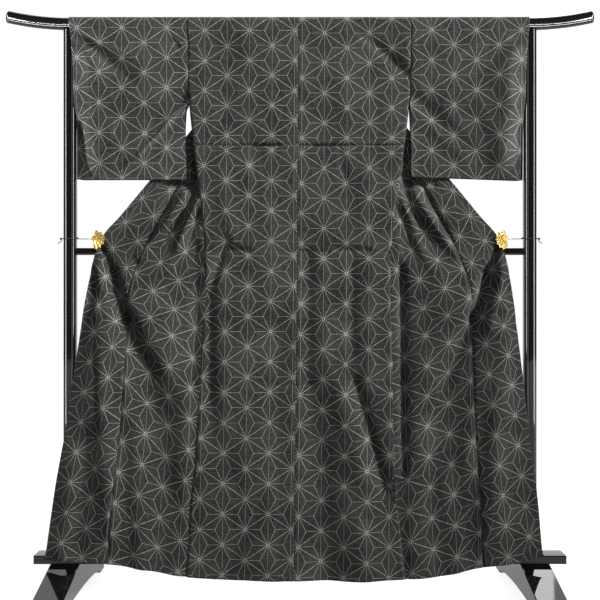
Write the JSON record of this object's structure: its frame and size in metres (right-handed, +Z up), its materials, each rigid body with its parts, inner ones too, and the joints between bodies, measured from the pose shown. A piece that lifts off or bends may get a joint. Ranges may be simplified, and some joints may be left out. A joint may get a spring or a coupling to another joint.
{
  "type": "tsumugi kimono on its lacquered stand",
  "caption": "Unlined kimono hung over the rod of a black lacquered stand, back outwards, sleeves spread and both front edges drawn out by clips.",
  "frame": {"origin": "on the floor, under the middle of the stand", "axes": "+Z up, +X to the right of someone who faces the back of the kimono, -Y towards them"},
  "size_m": [1.6426, 0.516, 1.6432],
  "materials": {
    "cloth": "matt slubbed silk with a pale woven hemp leaf pattern",
    "lacquer": "glossy black lacquer",
    "gold": "polished",
    "string": "matt twisted cord"
  },
  "bodies": {
    "root": {"rod": "lacquer", "post_left": "lacquer", "post_right": "lacquer", "foot_left": "lacquer", "foot_right": "lacquer", "mid_rail": "lacquer", "base_rail": "lacquer", "back_left": "cloth", "back_right": "cloth", "front_left": "cloth", "front_right": "cloth", "okumi_left": "cloth", "okumi_right": "cloth", "sleeve_left_back": "cloth", "sleeve_left_front": "cloth", "sleeve_right_back": "cloth", "sleeve_right_front": "cloth", "collar": "cloth", "over_collar": "cloth", "clip_left": "gold", "clip_right": "gold", "string_left": "string", "string_right": "string"}
  },
  "joints": []
}
